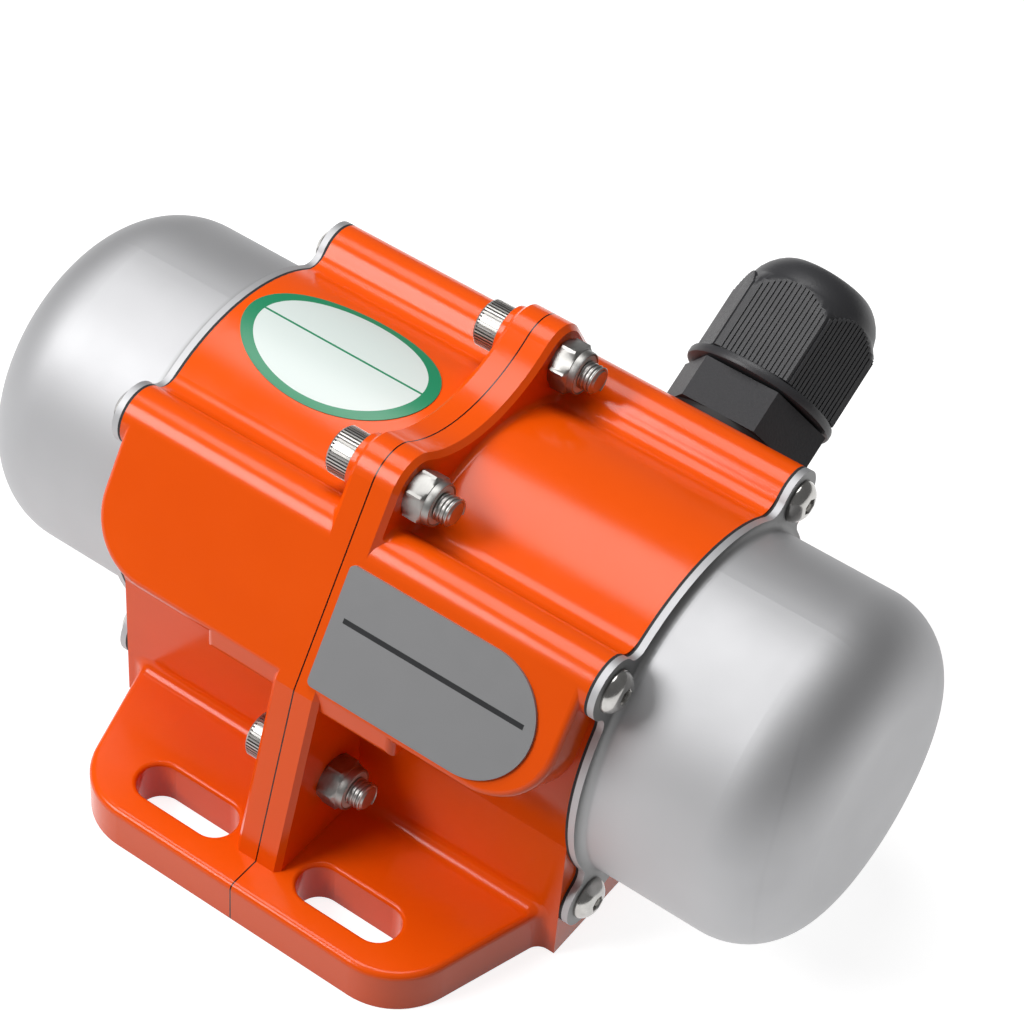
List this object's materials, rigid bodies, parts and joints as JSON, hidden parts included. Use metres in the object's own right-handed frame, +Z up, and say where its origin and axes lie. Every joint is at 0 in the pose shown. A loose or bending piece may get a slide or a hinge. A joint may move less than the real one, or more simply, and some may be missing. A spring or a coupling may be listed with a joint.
{
  "type": "vibration motor",
  "caption": "Foot-mounted electric vibration motor: split cast housing with slotted foot, steel end caps over eccentric weights, and a side cable gland.",
  "frame": {"origin": "centre of the four foot slots, on the underside of the foot, in the plane where the housing halves meet", "axes": "+X along the shaft towards the half with the cable gland and nuts, +Y towards the gland's side, +Z up from the foot"},
  "size_m": [0.165, 0.1293, 0.0794],
  "materials": {
    "enamel": "glossy orange stove enamel on die-cast aluminium",
    "stainless_sheet": "satin deep-drawn stainless steel",
    "stainless_fastener": "bright machined stainless steel",
    "nylon_insert": "nylon",
    "gasket_rubber": "matt black rubber",
    "plate_aluminium": "grey anodised aluminium, bare",
    "label_paper": "white film with a plain green rim",
    "gland_nylon": "moulded black nylon",
    "lamination": "stacked electrical steel",
    "winding": "enamelled copper wire",
    "cast_aluminium": "as cast",
    "bearing_steel": "ground bearing steel",
    "shaft_steel": "machined steel"
  },
  "bodies": {
    "housing": {"bearing_outer_left": "bearing_steel", "bearing_outer_right": "bearing_steel", "bearing_shim": "bearing_steel", "cap_gasket_left": "gasket_rubber", "cap_gasket_right": "gasket_rubber", "cap_screws_left": "stainless_fastener", "cap_screws_right": "stainless_fastener", "end_cap_left": "stainless_sheet", "end_cap_right": "stainless_sheet", "flange_nuts": "stainless_fastener", "flange_screws": "stainless_fastener", "gland_body": "gland_nylon", "gland_claw": "gland_nylon", "gland_nut": "gland_nylon", "gland_seal": "gasket_rubber", "gland_washer": "gasket_rubber", "housing_left": "enamel", "housing_right": "enamel", "inspection_label": "label_paper", "nameplate": "plate_aluminium", "nut_inserts": "nylon_insert", "shaft_seal_left": "gasket_rubber", "shaft_seal_right": "gasket_rubber", "stator_core": "lamination", "stator_windings": "winding", "wave_spring": "bearing_steel"},
    "rotor": {"rotor_shaft": "shaft_steel", "rotor_core": "lamination", "rotor_cage": "cast_aluminium", "bearing_inner_left": "bearing_steel", "bearing_inner_right": "bearing_steel", "circlip_left": "shaft_steel", "circlip_right": "shaft_steel", "fixed_weight_left": "shaft_steel", "fixed_weight_right": "shaft_steel", "weight_key_left": "shaft_steel", "weight_key_right": "shaft_steel", "weight_spacer_left": "shaft_steel", "weight_spacer_right": "shaft_steel"},
    "ball_set_left": {"bearing_cage_left": "bearing_steel", "bearing_balls_left": "bearing_steel"},
    "ball_set_right": {"bearing_cage_right": "bearing_steel", "bearing_balls_right": "bearing_steel"},
    "adjustable_mass_left": {"adjustable_weight_left": "shaft_steel", "clamp_screw_left": "bearing_steel"},
    "adjustable_mass_right": {"adjustable_weight_right": "shaft_steel", "clamp_screw_right": "bearing_steel"}
  },
  "joints": [
    {"name": "rotor_spin", "type": "hinge", "parent": "housing", "child": "rotor", "pos_m": [0, 0, 0.037], "axis": [1, 0, 0], "continuous": true},
    {"name": "ball_orbit_left", "type": "hinge", "parent": "housing", "child": "ball_set_left", "pos_m": [-0.0367, 0, 0.037], "axis": [1, 0, 0], "continuous": true},
    {"name": "ball_orbit_right", "type": "hinge", "parent": "housing", "child": "ball_set_right", "pos_m": [0.0367, 0, 0.037], "axis": [1, 0, 0], "continuous": true},
    {"name": "adjust_left", "type": "hinge", "parent": "rotor", "child": "adjustable_mass_left", "pos_m": [-0.0649, 0, 0.037], "axis": [1, 0, 0], "range_deg": [0, 180]},
    {"name": "adjust_right", "type": "hinge", "parent": "rotor", "child": "adjustable_mass_right", "pos_m": [0.0649, 0, 0.037], "axis": [1, 0, 0], "range_deg": [0, 180]}
  ],
  "couplings": [
    {"joint": "ball_orbit_left", "follows": "rotor_spin", "ratio": 0.3659},
    {"joint": "ball_orbit_right", "follows": "rotor_spin", "ratio": 0.3659}
  ]
}
